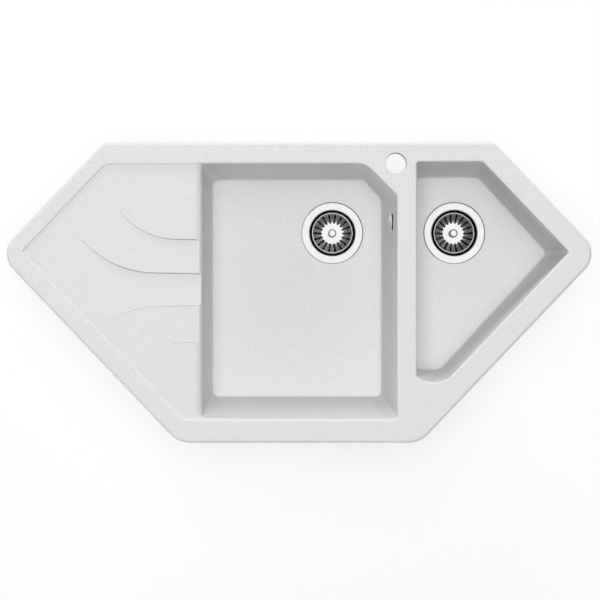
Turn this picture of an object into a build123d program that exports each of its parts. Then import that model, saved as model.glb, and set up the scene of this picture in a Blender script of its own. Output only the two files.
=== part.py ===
from build123d import *
import os
from math import cos, hypot, pi, radians, sin, sqrt, tan

# Corner kitchen sink: one moulded composite body with a drainer and two bowls, its basket
# strainers, overflow, connecting pipework and the clips that hold it in the worktop.
# Millimetres.  Plan sizes are measured from the middle of the body's outline, +X towards
# the half bowl, +Y towards the tap hole, +Z up; z = 0 is the top of the worktop.

# ---- body outline
LENGTH = 977.3          # tip to tip
WIDTH = 502.5           # front edge to rear edge
TIP_Y = 65.0            # line of the two tips, behind the middle
SIDE_A = 46.4           # slope of the four slanted sides
TIP_R = 38.0
REAR_R = 16.0
FRONT_R = 46.0
RIM_T = 10.0            # rim height above the worktop
RIM_EDGE_R = 5.5        # rounding of the rim's outer top edge
SEAT_W = 14.0           # strip of the rim that lies on the worktop
PAD_DROP = 6.0          # thickening under the deck, inside the cut-out
WALL = 8.0              # bowl wall
FLOOR_T = 8.0           # bowl floor

# ---- bowls
DEPTH = 190.0           # rim top to bowl floor
REAR_RIM = 35.6         # rear edge to the main bowl's mouth
FRONT_RIM = 40.0
MAIN_X = -162.9         # left side of the main bowl's mouth
MAIN_L = 327.1
MAIN_CUT = 53.4         # legs of the cut corner beside the tap hole
MAIN_CUT_R = 34.0       # rounding where the rear side turns into the cut corner
MOUTH_R = 4.0           # corners of both mouths
DIVIDER = 32.2          # land between the two mouths
HALF_REAR_RIM = 32.6
HALF_SIDE_RIM = 36.0    # rim beside the half bowl, rear slanted side
HALF_FRONT_RIM = 39.4   # rim beside the half bowl, front slanted side
HALF_NOSE_X = 33.9      # run of the nose that joins its left side to the front slant
HALF_NOSE_A = 35.7      # slope of that nose
HALF_NOSE_R = 45.0
HALF_REAR_R = 8.0       # where the rear side turns into the rear slant
FLOOR_R = 11.0          # corners of the two floors
FLOOR_NOSE_R = 22.0
FLOOR_FILLET = 3.5      # floor into wall
EDGE_R = 3.0            # rounding of the mouths' edges at the deck
FRONT_EDGE_R = 5.0      # the same along the main bowl's front
LIP_R = 13.0            # rounding where the drainer runs into the main bowl
BANDS = 4               # flats that make up each rounding of a bowl
BOTTOM_R = 12.0         # outside, floor into wall
# how far each floor corner stands from the mouth corner above it (x, y)
MAIN_FLOOR_IN = [(9.0, 27.0), (-18.0, 27.0), (-18.0, 3.3), (4.3, -14.2), (9.0, -14.2)]
HALF_FLOOR_IN = [(9.0, 3.4), (19.4, 27.7), (-10.6, 2.8), (10.0, -13.2), (9.0, -13.2)]

# ---- drainer
DRAIN_REAR_RIM = 37.3
DRAIN_SIDE_RIM = 27.0   # rim beside the drainer, rear slanted side
DRAIN_SLANT_RIM = 31.7  # the same, front slanted side
DRAIN_FRONT_RIM = 39.1
DRAIN_CORNER_R = 22.0
DRAIN_TIP_R = 8.0
DRAIN_FRONT_R = 30.0
DRAIN_DEEP_TIP = 3.0    # drainer surface below the rim top at the far tip
DRAIN_DEEP_BOWL = 4.4   # the same at the bowl's edge
STEP_1 = 3.0            # depth of the outer step at the bowl's edge
STEP_2 = 6.0            # depth of the inner step at the bowl's edge
STEP_LEAN = 0.75        # run of a step's side for each millimetre of its height
STEP_SHARE = 0.45       # share of a step's depth that it gains quickly, near its far end
STEP_NEAR = 0.3         # share of its length in which it does so
# step lines: y of the straight part, x where it starts to bend, x and y where it fades out
LINE_1 = (89.5, -205.0, -314.4, 159.9)
LINE_2 = (34.5, -245.0, -382.4, 116.0)
LINE_3 = (-25.2, -235.0, -330.3, -53.8)
LINE_4 = (-84.0, -190.0, -269.7, -110.0)

# ---- tap hole, strainers, overflow
TAP_R = 17.5
TAP_SIDE = 2.6          # tap hole's axis, left of the main mouth's right side
TAP_BACK = 35.9         # the same from the rear edge
TAP_EDGE_R = 0.8
MAIN_DRAIN_SIDE = 105.2 # strainer's axis from the main mouth's right side
HALF_DRAIN_SIDE = 79.0  # strainer's axis from the half mouth's left side
DRAIN_BACK = 109.2      # both strainers' axes from the main mouth's rear side
SEAT_R = 55.0           # recess that takes the strainer's flange
SEAT_DEEP = 3.0
OUTLET_R = 45.0         # hole in the bowl floor
OVF_ASIDE = 13.2        # overflow's axis behind the strainer's
OVF_DOWN = 56.0         # overflow axis below the rim top
OVF_HOLE_R = 14.0

# ---- basket strainer and waste, both bowls
FLANGE_R = 54.2
GASKET_T = 1.0          # between flange and bowl
CUP_T = 1.2             # steel of the strainer cup
CUP_R = 40.0            # mouth of the cup
CUP_DEEP = 40.0         # cup bottom below the flange's seat
CUP_HOLES = 8
CUP_HOLE_R = 4.0
CUP_HOLE_PR = 16.0      # circle of the cup's outlet holes
SCREW_R = 3.0           # central screw
BASKET_R = 35.8
BASKET_DROP = 5.0       # basket rim below the flange's seat
BASKET_DEEP = 20.0      # basket rim to basket floor
BASKET_T = 1.0
SLOTS = 18
SLOT_W = 2.9            # at the inner end; a slot widens a little outward
SLOT_R0, SLOT_R1 = 19.6, 33.2
KNOB_R = 7.2
KNOB_H = 15.0
STEM_R = 3.0
LOWER_GASKET_T = 2.0
HOUSING_R = 47.0        # plastic waste housing under the bowl
HOUSING_RIM_R = 58.0
HOUSING_DEEP = 40.0
PLASTIC_T = 3.0
SPIGOT_R = 22.0         # threaded outlet of the housing
SPIGOT_DEEP = 58.0      # its end below the bowl's underside
PORT_R = 8.0            # overflow port on the main housing
PORT_REACH = 75.0       # port's end from the housing's axis
PORT_DOWN = 28.0        # port's axis below the bowl's underside

# ---- pipework to the common outlet
PIPE_R = 20.0
PIPE_T = 2.5
NUT_T = 5.0             # wall of the coupling nuts
NUT_H = 21.0
WASHER_T = 2.0
CROSS_DOWN = 38.0       # cross pipe's axis below the spigots
BRANCH = 52.0           # socket's end from the tee's and elbow's vertical axes
SOCKET = 25.0           # how far the cross pipe goes into a socket
OUTLET_DOWN = 94.0      # tee's lower end below the spigots
OUTLET_L = 30.0         # plain length of the outlet below the tee's collar
COLLAR_T = 2.0          # how far the collar stands out from the outlet
STUB_R = 19.5           # tee's stub inside the coupling nut
BEND_R = 32.0

# ---- overflow
COVER_R = 14.8          # chrome plate in front of the inlet
COVER_H = 5.8           # its face in front of the bowl's side
COVER_T = 1.4
COVER_RING_R = 16.2     # ring that lies on the bowl's side round the hole
COVER_RING_T = 1.0
COVER_RING_W = 2.6
COVER_HUB_R = 4.5
COVER_SPOKES = 3
COVER_SPOKE_W = 3.0
OVF_FLANGE_R = 23.0
OVF_CHAMBER_R = 15.0
OVF_CHAMBER_H = 17.5    # depth of the elbow behind its flange's face
OVF_SPIGOT = 42.0       # its spigot's end below the overflow axis
HOSE_T = 2.0
HOSE_GAP = 0.2          # hose over spigot
HOSE_TOP = 24.5         # hose's end below the overflow axis
HOSE_ON = 18.0          # how far the hose covers the housing's port
HOSE_BEND_R = 32.0
CLAMP_T = 0.7
CLAMP_W = 8.0

# ---- worktop clips
WORKTOP_T = 30.0
CLIP_IN = 20.5          # screw axis from the body's outer edge
CLIP_SCREW_R = 2.0
CLIP_HUB_R = 4.5
CLIP_PLUG_R = 4.0
CLIP_PLUG_H = 8.0
CLIP_ARM = 17.0         # screw axis to the arm's tip
CLIP_W = 10.0
CLIP_PLATE = 2.2
# for each side of the outline, how far along it the clips stand, as a share of its run
CLIP_SHARES = [[0.2, 0.8], [0.52], [0.5], [0.46, 0.86], [0.5], [0.5]]
SLIP = 0.3              # gap between pieces that move apart
FIT = 0.05              # running fit of the clips on their screws

# ---- axes that follow from these
TAP_X, TAP_Y = MAIN_X + MAIN_L - TAP_SIDE, WIDTH / 2 - TAP_BACK
MAIN_DRAIN_X = MAIN_X + MAIN_L - MAIN_DRAIN_SIDE
HALF_DRAIN_X = MAIN_X + MAIN_L + DIVIDER + HALF_DRAIN_SIDE
DRAIN_Y = WIDTH / 2 - REAR_RIM - DRAIN_BACK
OVF_Y = DRAIN_Y + OVF_ASIDE


def tip_x():
    """Sharp corner of the outline, from the rounded tip's reach."""
    return LENGTH / 2 + TIP_R * (1 / sin(radians(SIDE_A)) - 1)


def outline_points():
    """Six sharp corners of the body's outline, anticlockwise from front left."""
    t, k = tip_x(), tan(radians(SIDE_A))
    front = t - (WIDTH / 2 + TIP_Y) / k
    rear = t - (WIDTH / 2 - TIP_Y) / k
    w = WIDTH / 2
    return [(-front, -w), (front, -w), (t, TIP_Y), (rear, w), (-rear, w), (-t, TIP_Y)]


OUTLINE_RADII = [FRONT_R, FRONT_R, TIP_R, REAR_R, REAR_R, TIP_R]


def cross(p, u, q, v):
    """Point where the line through p along u meets the line through q along v."""
    det = u[1] * v[0] - u[0] * v[1]
    s = (v[0] * (q[1] - p[1]) - v[1] * (q[0] - p[0])) / det
    return (p[0] + u[0] * s, p[1] + u[1] * s)


def grow(pts, d):
    """Anticlockwise polygon with its sides moved outward; d is one value or one per side."""
    n = len(pts)
    ds = [d] * n if isinstance(d, (int, float)) else d
    sides = []
    for i in range(n):
        (x0, y0), (x1, y1) = pts[i], pts[(i + 1) % n]
        run = hypot(x1 - x0, y1 - y0)
        u = ((x1 - x0) / run, (y1 - y0) / run)
        sides.append(((x0 + u[1] * ds[i], y0 - u[0] * ds[i]), u))
    return [cross(*sides[i - 1], *sides[i]) for i in range(n)]


def ring(pts, radii, z):
    """Closed wire through pts at height z, each corner rounded by its own radius."""
    return Pos(0, 0, z) * FilletPolyline(*pts, radius=list(radii), close=True)


def main_mouth():
    right, rear, front = MAIN_X + MAIN_L, WIDTH / 2 - REAR_RIM, -WIDTH / 2 + FRONT_RIM
    return [(MAIN_X, front), (right, front), (right, rear - MAIN_CUT),
            (right - MAIN_CUT, rear), (MAIN_X, rear)]


def half_mouth():
    """Left side, nose, front slanted side, rear slanted side and rear side."""
    left = MAIN_X + MAIN_L + DIVIDER
    o = grow(outline_points(), [0, -HALF_FRONT_RIM, -HALF_SIDE_RIM, -HALF_REAR_RIM, 0, 0])
    a = radians(HALF_NOSE_A)
    nose = cross((left + HALF_NOSE_X, 0), (0, 1), o[1], (o[2][0] - o[1][0], o[2][1] - o[1][1]))
    front = nose[1] + HALF_NOSE_X * tan(a)
    return [(left, front), nose, o[2], o[3], (left, WIDTH / 2 - HALF_REAR_RIM)]


MAIN_RADII = [MOUTH_R, MOUTH_R, MOUTH_R, MAIN_CUT_R, MOUTH_R]
MAIN_FLOOR_RADII = [FLOOR_R, FLOOR_R, FLOOR_R, FLOOR_R, FLOOR_R]
HALF_RADII = [MOUTH_R, HALF_NOSE_R, MOUTH_R, HALF_REAR_R, MOUTH_R]
HALF_FLOOR_RADII = [FLOOR_R, FLOOR_NOSE_R, FLOOR_R, FLOOR_R, FLOOR_R]


def shifted(pts, moves):
    return [(x + a, y + b) for (x, y), (a, b) in zip(pts, moves)]


def lerp(a, b, t):
    return a + (b - a) * t


def flare(z, top, r):
    """How far a side rounded by r below top has opened at height z."""
    if z <= top - r:
        return 0.0
    return r - sqrt(r * r - (min(z, top) - top + r) ** 2)


def cavity(mouth, radii, moves, floor_radii, edges):
    """Hollow of one bowl: floor rounding, drafted sides and mouth rounding, in flats.

    edges gives each side's rounding and the height of the surface that it rounds into."""
    floor_z, n = RIM_T - DEPTH, len(mouth)
    levels = {RIM_T}
    for r, top in set(edges):
        levels |= {top - r + r * sin(pi / 2 * i / BANDS) for i in range(BANDS + 1)}
    rings = []
    for i in range(BANDS + 1):
        a = pi / 2 * i / BANDS
        rings.append((floor_z + FLOOR_FILLET * (1 - cos(a)), FLOOR_FILLET * (1 - sin(a))))
    rings += [(z, 0.0) for z in sorted(levels)]
    wires = []
    for z, inset in rings:
        t = (z - floor_z) / DEPTH
        pts = [(lerp(x + a, x, t), lerp(y + b, y, t)) for (x, y), (a, b) in zip(mouth, moves)]
        out = [flare(z, top, r) - inset for r, top in edges]
        turn = [lerp(f, r, t) + (out[j - 1] + out[j]) / 2
                for j, (f, r) in enumerate(zip(floor_radii, radii))]
        wires.append(ring(grow(pts, out), turn, z))
    hollow = Solid.make_loft(wires, ruled=True)
    return hollow + extrude(hollow.faces().sort_by(Axis.Z)[-1], 5)


def shell(mouth, radii, moves, floor_radii):
    """Outside of one bowl, as a solid block under the deck."""
    floor_z, low = RIM_T - DEPTH, RIM_T - DEPTH - FLOOR_T
    rings = []
    for i in range(BANDS + 1):
        a = pi / 2 * i / BANDS
        rings.append((low + BOTTOM_R * (1 - cos(a)), BOTTOM_R * (1 - sin(a))))
    wires = []
    for z, inset in rings + [(RIM_T, 0.0)]:
        t = (z - floor_z) / DEPTH
        pts = [(lerp(x + a, x, t), lerp(y + b, y, t)) for (x, y), (a, b) in zip(mouth, moves)]
        turn = [lerp(f, r, t) + WALL - inset for f, r in zip(floor_radii, radii)]
        wires.append(ring(grow(pts, WALL - inset), turn, z))
    return Solid.make_loft(wires, ruled=True)


def drain_z(x):
    """Drainer surface height at x: it falls towards the bowl."""
    far = -LENGTH / 2 + DRAIN_SIDE_RIM
    t = (x - far) / (MAIN_X - far)
    return RIM_T - lerp(DRAIN_DEEP_TIP, DRAIN_DEEP_BOWL, t)


def above(p, q, r):
    """Large block whose underside passes through three points."""
    a, b, c = Vector(*p), Vector(*q), Vector(*r)
    n = (b - a).cross(c - a)
    if n.Z < 0:
        n = n * -1
    size = 4 * LENGTH
    return Plane(origin=a, z_dir=n) * Pos(0, 0, size / 2) * Box(size, size, size)


def recess():
    """Shallow pocket of the drainer, open to the main bowl's hollow."""
    far = MAIN_X + MAIN_L / 5
    wires = []
    for i in range(-1, BANDS + 1):
        z = RIM_T - EDGE_R + EDGE_R * sin(pi / 2 * i / BANDS) if i >= 0 else 0.0
        d = flare(z, RIM_T, EDGE_R)
        o = grow(outline_points(), [d - DRAIN_FRONT_RIM, 0, 0, d - DRAIN_REAR_RIM,
                                    d - DRAIN_SIDE_RIM, d - DRAIN_SLANT_RIM])
        pts = [o[0], (far, o[0][1]), (far, o[4][1]), o[4], o[5]]
        wires.append(ring(pts, [DRAIN_FRONT_R + d, 0, 0, DRAIN_CORNER_R + d, DRAIN_TIP_R + d], z))
    pocket = Solid.make_loft(wires, ruled=True)
    pocket += extrude(pocket.faces().sort_by(Axis.Z)[-1], 5)
    x = -LENGTH / 2
    return pocket & above((x, 0, drain_z(x)), (x, 100, drain_z(x)), (0, 0, drain_z(0)))


def step_ring(rear, front, z):
    """Closed wire round one step's floor; its sides lean outward with height."""
    far, d = MAIN_X + MAIN_L / 5, (z - drain_z(MAIN_X)) * STEP_LEAN
    ends = []
    for (y, bend, x_end, y_end), up in ((rear, 1), (front, -1)):
        dx, dy = bend - x_end, abs(y_end - y)
        r = (dx * dx + dy * dy) / (2 * dy)
        k = (r - d) / r
        cy = y + up * r
        ends.append(((bend, y + up * d), (bend + (x_end - bend) * k, cy + (y_end - cy) * k)))
    (b0, e0), (b1, e1) = ends
    parts = [Line((far, b1[1]), (far, b0[1])), Line((far, b0[1]), b0), TangentArc(b0, e0, tangent=(-1, 0)),
             Line(e0, e1), TangentArc(b1, e1, tangent=(-1, 0)), Line(b1, (far, b1[1]))]
    return Pos(0, 0, z) * Wire([e for p in parts for e in p.edges()])


def step(rear, front, deep):
    """Sunken zone of the drainer between two step lines, fading out at their far ends."""
    block = Solid.make_loft([step_ring(rear, front, z) for z in (-PAD_DROP / 2, RIM_T + 2)], ruled=True)
    p = (rear[2], rear[3], drain_z(rear[2]))
    q = (front[2], front[3], drain_z(front[2]))
    x, y = MAIN_X, (rear[0] + front[0]) / 2
    near = above(p, q, (x, y, drain_z(x) - deep * STEP_SHARE / STEP_NEAR))
    start = deep * (STEP_SHARE - STEP_NEAR) / (1 - STEP_NEAR)
    p, q = (p[0], p[1], p[2] - start), (q[0], q[1], q[2] - start)
    return block & near & above(p, q, (x, y, drain_z(x) - deep))


def wall_plane():
    """Overflow axis on the main bowl's right side: z into the bowl, y down the side."""
    lean = -MAIN_FLOOR_IN[1][0] / DEPTH
    x = MAIN_X + MAIN_L - lean * OVF_DOWN
    return Plane(origin=(x, OVF_Y, RIM_T - OVF_DOWN), x_dir=(0, 1, 0), z_dir=(-1, 0, lean))


def wall_t():
    """Thickness of that side, measured square to it."""
    lean = -MAIN_FLOOR_IN[1][0] / DEPTH
    return WALL / hypot(1, lean)


def tube(r_out, r_in, z0, z1):
    """Upright tube, or a plain cylinder where r_in is 0."""
    t = Pos(0, 0, (z0 + z1) / 2) * Cylinder(r_out, abs(z1 - z0))
    return t - Pos(0, 0, (z0 + z1) / 2) * Cylinder(r_in, abs(z1 - z0) + 2) if r_in else t


def turned(pts):
    """Solid turned about Z from a closed (radius, height) profile."""
    return revolve(make_face(Plane.XZ * Polyline(*pts, close=True)), Axis.Z)


def sink_body():
    outline = ring(outline_points(), OUTLINE_RADII, 0)
    rim = extrude(make_face(outline), RIM_T)
    rim = fillet(rim.faces().sort_by(Axis.Z)[-1].edges(), RIM_EDGE_R)
    pad_r = [max(r - SEAT_W, 4) for r in OUTLINE_RADII]
    pad = extrude(make_face(ring(grow(outline_points(), -SEAT_W), pad_r, -PAD_DROP)), PAD_DROP + 1)
    body = rim + pad
    body += shell(main_mouth(), MAIN_RADII, MAIN_FLOOR_IN, MAIN_FLOOR_RADII)
    body += shell(half_mouth(), HALF_RADII, HALF_FLOOR_IN, HALF_FLOOR_RADII)
    body -= cavity(main_mouth(), MAIN_RADII, MAIN_FLOOR_IN, MAIN_FLOOR_RADII,
                   [(FRONT_EDGE_R, RIM_T), (EDGE_R, RIM_T), (EDGE_R, RIM_T), (EDGE_R, RIM_T),
                    (LIP_R, drain_z(MAIN_X))])
    body -= cavity(half_mouth(), HALF_RADII, HALF_FLOOR_IN, HALF_FLOOR_RADII, [(EDGE_R, RIM_T)] * 5)
    body -= recess()
    body -= step(LINE_1, LINE_4, STEP_1)
    body -= step(LINE_2, LINE_3, STEP_2)
    body -= Pos(TAP_X, TAP_Y, 0) * (tube(TAP_R, 0, -PAD_DROP - 1, RIM_T + 1)
                                    + Pos(0, 0, RIM_T) * Cone(TAP_R, TAP_R + 2 * TAP_EDGE_R, 2 * TAP_EDGE_R))
    floor_z = RIM_T - DEPTH
    for x in (MAIN_DRAIN_X, HALF_DRAIN_X):
        body -= Pos(x, DRAIN_Y, 0) * (tube(SEAT_R, 0, floor_z - SEAT_DEEP, floor_z + 2)
                                      + tube(OUTLET_R, 0, floor_z - FLOOR_T - 1, floor_z))
    body -= wall_plane() * tube(OVF_HOLE_R, 0, -1.4 * WALL, 0.6 * WALL)
    return body


def seat_z():
    """Floor of the recess that takes a strainer's flange."""
    return RIM_T - DEPTH - SEAT_DEEP


def under_z():
    return RIM_T - DEPTH - FLOOR_T


def flange_gasket():
    return tube((FLANGE_R + SEAT_R) / 2, OUTLET_R + 1, seat_z(), seat_z() + GASKET_T)


def cup_profile_z():
    """Height of the flange's underside and of the cup's bottom, inside."""
    z = seat_z() + GASKET_T
    return z, z - CUP_DEEP


def strainer_cup():
    """Pressed flange and cup with a ring of outlet holes round the screw."""
    z, low = cup_profile_z()
    t, r = CUP_T, CUP_R
    cup = turned([(FLANGE_R, z), (FLANGE_R, z + 0.7 * t), (FLANGE_R - 0.4, z + 1.1 * t),
                  (FLANGE_R - 1.3, z + 1.3 * t), (r + 3.4, z + 1.4 * t), (r + 1.8, z + 1.2 * t),
                  (r + 0.6, z + 0.4 * t), (r, z - 1.2 * t),
                  (r - 1.5, z - 0.55 * CUP_DEEP), (r - 9, z - 0.78 * CUP_DEEP), (r - 12, low),
                  (SCREW_R + FIT, low), (SCREW_R + FIT, low - t), (r - 12 + t, low - t),
                  (r - 9 + t, z - 0.78 * CUP_DEEP - 0.4 * t), (r - 1.5 + t, z - 0.55 * CUP_DEEP - 0.3 * t),
                  (r + t, z - 1.2 * t), (r + 2.4, z)])
    cup -= PolarLocations(CUP_HOLE_PR, CUP_HOLES) * (Pos(0, 0, low) * Cylinder(CUP_HOLE_R, 4 * t))
    return cup


def basket_z():
    """Heights of the basket's rim and of its floor."""
    z = seat_z() + GASKET_T - BASKET_DROP
    return z, z - BASKET_DEEP


def basket():
    """Slotted dish with a flat middle."""
    z, low = basket_z()
    t, r = BASKET_T, BASKET_R
    dish = turned([(r, z), (r - t, z + t / 2), (r - 2 * t, z), (r - 3.2, z - 0.3 * BASKET_DEEP),
                   (r - 9, z - 0.72 * BASKET_DEEP), (SLOT_R0, low), (STEM_R + FIT, low),
                   (STEM_R + FIT, low - t), (SLOT_R0 + 0.2, low - t), (r - 8.4, z - 0.72 * BASKET_DEEP - t),
                   (r - 2.2, z - 0.3 * BASKET_DEEP - 0.3 * t), (r - 0.6, z - t)])
    tool = make_face(Polyline((SLOT_R0, -SLOT_W / 2), (SLOT_R1, -SLOT_W * 0.56), (SLOT_R1, SLOT_W * 0.56),
                              (SLOT_R0, SLOT_W / 2), close=True))
    tool = Pos(0, 0, low - 2 * t) * extrude(tool, BASKET_DEEP * 0.95)
    return dish - PolarLocations(0, SLOTS) * tool


def basket_seal():
    """Rubber bell under the basket that closes the cup's outlet holes."""
    top = basket_z()[1] - BASKET_T
    low = cup_profile_z()[1] + SLIP
    h, c = top - low, CUP_HOLE_PR + CUP_HOLE_R
    return turned([(STEM_R + FIT, top), (c - 1, top), (c, top - 0.3 * h), (c + 4, top - 0.7 * h), (c + 5.5, low),
                   (c + 2, low), (c + 0.5, top - 0.72 * h), (c - 5, top - 0.4 * h), (STEM_R + FIT, top - 0.4 * h)])


def basket_stem():
    """Pin with a collar that holds knob, basket and seal together."""
    top = basket_z()[1] - BASKET_T
    low = top - 0.4 * (top - cup_profile_z()[1] - SLIP)
    return tube(STEM_R, 0, low - 2, basket_z()[1] + 0.55 * KNOB_H) + tube(1.9 * STEM_R, 0, low - 1.5, low)


def basket_knob():
    z = basket_z()[1]
    r, h = KNOB_R, KNOB_H
    knob = turned([(0, z), (0.75 * r, z), (0.62 * r, z + 0.35 * h), (0.66 * r, z + 0.55 * h), (r, z + 0.68 * h),
                   (r, z + 0.92 * h), (0.9 * r, z + h), (0.74 * r, z + h), (0.66 * r, z + 0.93 * h),
                   (0, z + 0.93 * h)])
    return knob - tube(STEM_R + FIT, 0, z - 1, z + 0.55 * KNOB_H)


def lower_gasket():
    return tube(HOUSING_RIM_R - 1, OUTLET_R + 0.5, under_z() - LOWER_GASKET_T, under_z())


def waste_housing(port):
    """Plastic housing with a ribbed boss for the screw; port adds the overflow's stub."""
    top = under_z() - LOWER_GASKET_T
    low, end, r, t = top - HOUSING_DEEP, under_z() - SPIGOT_DEEP, HOUSING_R, PLASTIC_T
    bore = SPIGOT_R - PLASTIC_T
    outer = turned([(0, top), (HOUSING_RIM_R, top), (HOUSING_RIM_R, top - 4), (r + 2, top - 5), (r, top - 8),
                    (r, low + 6), (r - 6, low), (SPIGOT_R, low), (SPIGOT_R, end), (0, end)])
    inner = turned([(0, top + 1), (r - t, top + 1), (r - t, low + 6 + t / 2), (r - t - 5, low + t),
                    (bore, low + t), (bore, end - 1), (0, end - 1)])
    axis = Pos(0, OVF_Y - DRAIN_Y, under_z() - PORT_DOWN) * Rot(0, 90, 0)
    if port:
        outer += axis * tube(PORT_R, 0, r - 8, PORT_REACH)
        inner += axis * tube(PORT_R - 1.4, 0, r - 12, PORT_REACH + 1)
    boss_top = cup_profile_z()[1] - CUP_T
    ribs = [Rot(0, 0, a) * Pos(0, 0, (boss_top - 4 + low - 6) / 2)
            * Box(2 * (bore + t / 2), t, boss_top - 4 - low + 6) for a in (0, 90)]
    boss = tube(8, 0, low - 6, boss_top)
    return (outer - inner) + (ribs[0] + ribs[1] + boss - tube(SCREW_R, 0, low - 7, boss_top + 1))


def waste_screw():
    """Screw that pulls the cup down onto the housing."""
    z = cup_profile_z()[1]
    head = turned([(0, z), (7, z), (7, z + 1.2), (5.2, z + 2.6), (0, z + 2.9)])
    slot = Pos(0, 0, z + 2.6) * Box(11, 1.4, 1.6)
    return head - slot + tube(SCREW_R - FIT, 0, z - 15, z)


def spigot_z():
    return under_z() - SPIGOT_DEEP


def coupling_washer():
    return tube(SPIGOT_R - 0.5, PIPE_R - PIPE_T, spigot_z() - WASHER_T, spigot_z())


def coupling_nut():
    """Nut that holds the collar of the pipe below against the spigot."""
    r, low = SPIGOT_R + NUT_T, spigot_z() - WASHER_T - 3 - 3.5
    nut = turned([(PIPE_R + 0.3, low), (r - 1.5, low), (r, low + 2), (r, low + NUT_H - 2), (r - 1.5, low + NUT_H),
                  (SPIGOT_R + FIT, low + NUT_H), (SPIGOT_R + FIT, low + 3.5), (PIPE_R + 0.3, low + 3.5)])
    grip = Pos(0, 0, low + NUT_H / 2) * Box(3, 5, NUT_H - 5)
    return nut + PolarLocations(r, 8) * grip


def pipe_top():
    return spigot_z() - WASHER_T


def cross_z():
    return spigot_z() - CROSS_DOWN


def socket_end(side):
    """Socket for the cross pipe, along X from the vertical axis; side is 1 or -1."""
    return Pos(0, 0, cross_z()) * Rot(0, 90 * side, 0)


def waste_tee():
    """Upright pipe under the main bowl, branch to the half bowl, open lower end."""
    r, b = PIPE_R, PIPE_R - PIPE_T
    low = spigot_z() - OUTLET_DOWN
    side = socket_end(1)
    body = tube(r, 0, low, low + OUTLET_L) + tube(STUB_R, 0, cross_z(), pipe_top())
    body += tube(r + COLLAR_T, 0, low + OUTLET_L, cross_z() + r + COLLAR_T)
    body += tube(SPIGOT_R - 0.3, 0, pipe_top() - 3, pipe_top())
    body += side * tube(r + PIPE_T + 1.5, 0, 0.4 * BRANCH, BRANCH)
    body += side * tube(r, 0, 0, BRANCH)
    return body - tube(b, 0, low - 1, pipe_top() + 1) - side * (tube(b, 0, 0, BRANCH)
                                                               + tube(r + 0.2, 0, BRANCH - SOCKET, BRANCH + 1))


def half_elbow():
    """Bend under the half bowl that turns its waste towards the tee."""
    r, b = PIPE_R, PIPE_R - PIPE_T
    side = socket_end(-1)
    path = FilletPolyline((0, 0, pipe_top()), (0, 0, cross_z()), (-BRANCH + 2, 0, cross_z()), radius=BEND_R)
    start = Plane(origin=(0, 0, pipe_top()), z_dir=(0, 0, -1))
    body = sweep(start * Circle(r), path) + tube(SPIGOT_R - 0.3, 0, pipe_top() - 3, pipe_top())
    body += side * tube(r + PIPE_T + 1.5, 0, 0.5 * BRANCH, BRANCH)
    return body - sweep(start * Circle(b), path) - side * tube(r + 0.2, 0, BRANCH - SOCKET, BRANCH + 1)


def cross_pipe():
    """Straight pipe between the sockets of tee and elbow."""
    x0 = MAIN_DRAIN_X + BRANCH - SOCKET + 0.5
    x1 = HALF_DRAIN_X - BRANCH + SOCKET - 0.5
    return Pos(0, DRAIN_Y, cross_z()) * Rot(0, 90, 0) * tube(PIPE_R, PIPE_R - PIPE_T, x0, x1)


def at_sockets(piece):
    """The same piece on the tee's socket and on the elbow's."""
    return [Pos(MAIN_DRAIN_X, DRAIN_Y, 0) * socket_end(1) * piece,
            Pos(HALF_DRAIN_X, DRAIN_Y, 0) * socket_end(-1) * piece]


def socket_washer():
    return tube(PIPE_R + PIPE_T + 1.3, PIPE_R + FIT, BRANCH, BRANCH + 3)


def socket_nut():
    r = PIPE_R + PIPE_T + 1.5
    end = BRANCH + 3 + 3
    nut = tube(r + NUT_T - 1, r + FIT, end - NUT_H, end - 3) + tube(r + NUT_T - 1, PIPE_R + 0.3, end - 3, end)
    grip = Pos(0, 0, end - NUT_H / 2) * Box(3, 5, NUT_H - 5)
    return nut + PolarLocations(r + NUT_T - 1, 8) * grip


def overflow_cover():
    """Chrome plate on a hub; three spokes join the hub to a ring round the inlet."""
    r, h, t = COVER_R, COVER_H, COVER_T
    rose = turned([(0, h), (0.6 * r, h - 0.1), (r - 0.9, h - 0.3), (r - 0.2, h - 0.7), (r, h - t), (0, h - t)])
    rose += tube(COVER_HUB_R, 0, -wall_t() / 2, h - t / 2)
    rose += tube(COVER_RING_R, COVER_RING_R - COVER_RING_W, 0, COVER_RING_T)
    reach = COVER_RING_R - COVER_RING_W / 2
    rose += PolarLocations(0, COVER_SPOKES, 90) * (
        Pos(reach / 2, 0, COVER_RING_T / 2) * Box(reach, COVER_SPOKE_W, COVER_RING_T))
    rose -= tube(2.7, 0, -wall_t(), h + 1)
    rose -= Pos(0, 0, h) * Cone(2.7, 5.0, 2.4, align=(Align.CENTER, Align.CENTER, Align.MAX))
    return wall_plane() * rose


def overflow_screw():
    h = COVER_H
    screw = tube(2.4, 0, -wall_t() - 15, h - 1) + Pos(0, 0, h - 0.1) * Cone(
        2.4, 4.7, 2.2, align=(Align.CENTER, Align.CENTER, Align.MAX))
    return wall_plane() * (screw - Pos(0, 0, h) * Box(7, 1.2, 1.6))


def overflow_gasket():
    return wall_plane() * tube(OVF_FLANGE_R, OVF_HOLE_R + 0.5, -wall_t() - 2, -wall_t())


def spigot_depth():
    """Axis of the elbow's spigot behind the bowl's inner face."""
    return wall_t() + 2 + OVF_CHAMBER_H - PORT_R - 0.3


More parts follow.
